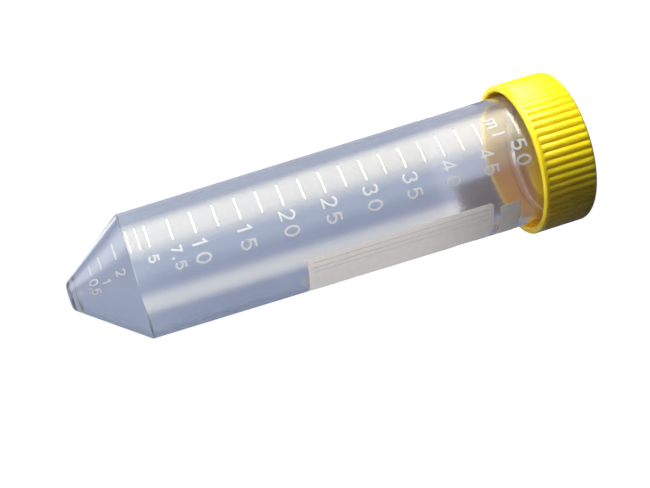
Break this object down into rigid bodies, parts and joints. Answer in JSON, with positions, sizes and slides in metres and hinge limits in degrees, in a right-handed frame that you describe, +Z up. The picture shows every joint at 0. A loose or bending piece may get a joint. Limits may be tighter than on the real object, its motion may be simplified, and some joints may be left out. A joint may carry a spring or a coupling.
{
  "type": "conical centrifuge tube",
  "caption": "Clear conical-bottomed plastic tube with a graduated scale and a ribbed yellow screw cap, closed and standing upside down on its cap.",
  "frame": {"origin": "middle of the cap's flat top, on the surface that the closed tube stands on", "axes": "+Z up along the tube's axis, from the cap to the tip; the part is round, so +X is across it"},
  "size_m": [0.0348, 0.0348, 0.115],
  "materials": {
    "clear_tube": "clear moulded polypropylene with a faint blue tint and a fine haze",
    "yellow_cap": "opaque bright yellow moulded polyethylene, satin",
    "white_ink": "white screen-printed ink"
  },
  "bodies": {
    "tube": {"tube": "clear_tube"},
    "cap": {"screw_cap": "yellow_cap"}
  },
  "joints": [
    {"name": "tube_lift", "type": "slide", "parent": "cap", "child": "tube", "axis": [0, 0, 1], "range_m": [0, 0.03]}
  ]
}
